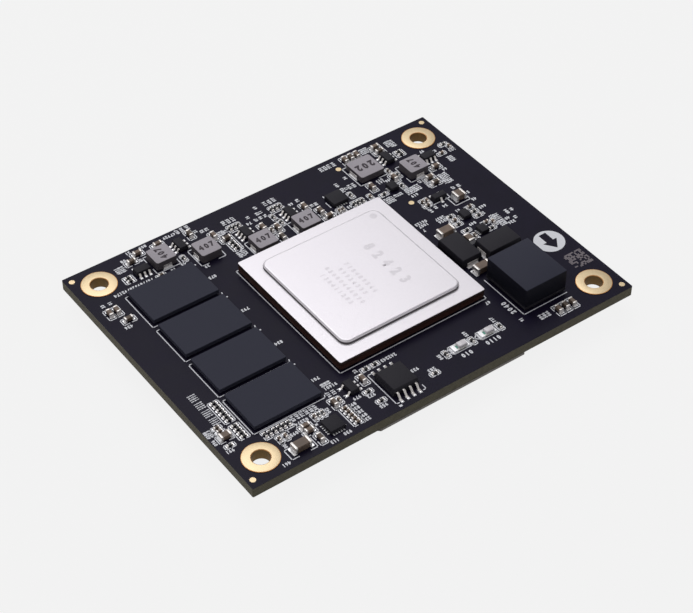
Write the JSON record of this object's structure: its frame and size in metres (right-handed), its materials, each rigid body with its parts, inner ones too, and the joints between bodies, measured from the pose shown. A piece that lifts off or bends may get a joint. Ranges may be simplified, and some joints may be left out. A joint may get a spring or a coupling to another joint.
{
  "type": "system on module",
  "caption": "Plug-in processor board with a metal-lidded chip, memory chips, power parts, corner screw holes and board-to-board sockets underneath.",
  "frame": {"origin": "on the plane of the sockets' mating faces, under the middle of the board", "axes": "+Z out of the board's chip side, +X along its long side, with the memory chips at -X"},
  "size_m": [0.08, 0.06, 0.0103],
  "materials": {
    "solder_mask": "matt violet-black solder mask",
    "gold_plating": "satin gold plating",
    "connector_plastic": "matt moulded plastic",
    "package_laminate": "matt brown laminate",
    "satin_nickel": "satin nickel plating",
    "silicon": "polished dark grey",
    "grey_compound": "matt grey compound",
    "charcoal_mould": "fine matt charcoal moulding",
    "black_mould": "fine matt black moulding",
    "pressed_powder": "matt warm grey pressed powder",
    "capacitor_ceramic": "matt tan ceramic with tinned ends",
    "clear_resin": "clear resin on a white base"
  },
  "bodies": {
    "root": {"ceramic_capacitor_1": "capacitor_ceramic", "ceramic_capacitor_2": "capacitor_ceramic", "ceramic_capacitor_3": "capacitor_ceramic", "ceramic_capacitor_4": "capacitor_ceramic", "circuit_board": "solder_mask", "connector_back": "connector_plastic", "connector_front": "connector_plastic", "connector_left": "connector_plastic", "connector_right": "connector_plastic", "controller_chip": "black_mould", "flash_memory": "black_mould", "inductor_1": "pressed_powder", "inductor_2": "pressed_powder", "inductor_3": "pressed_powder", "inductor_4": "pressed_powder", "inductor_5": "pressed_powder", "lamp_1": "clear_resin", "lamp_2": "clear_resin", "level_shifter_1": "black_mould", "level_shifter_2": "black_mould", "level_shifter_3": "black_mould", "lid_seal": "grey_compound", "memory_chip_1": "charcoal_mould", "memory_chip_2": "charcoal_mould", "memory_chip_3": "charcoal_mould", "memory_chip_4": "charcoal_mould", "mounting_pad_1": "gold_plating", "mounting_pad_2": "gold_plating", "mounting_pad_3": "gold_plating", "mounting_pad_4": "gold_plating", "polymer_capacitor_1": "black_mould", "polymer_capacitor_2": "black_mould", "power_module": "charcoal_mould", "power_switch": "black_mould", "processor_die": "silicon", "processor_lid": "satin_nickel", "processor_substrate": "package_laminate", "regulator_1": "black_mould", "regulator_2": "black_mould", "regulator_3": "black_mould", "regulator_4": "black_mould", "regulator_5": "black_mould", "regulator_6": "black_mould", "supervisor_chip": "black_mould", "switch_transistor": "black_mould", "thermal_layer": "grey_compound", "wide_inductor": "pressed_powder"}
  },
  "joints": []
}
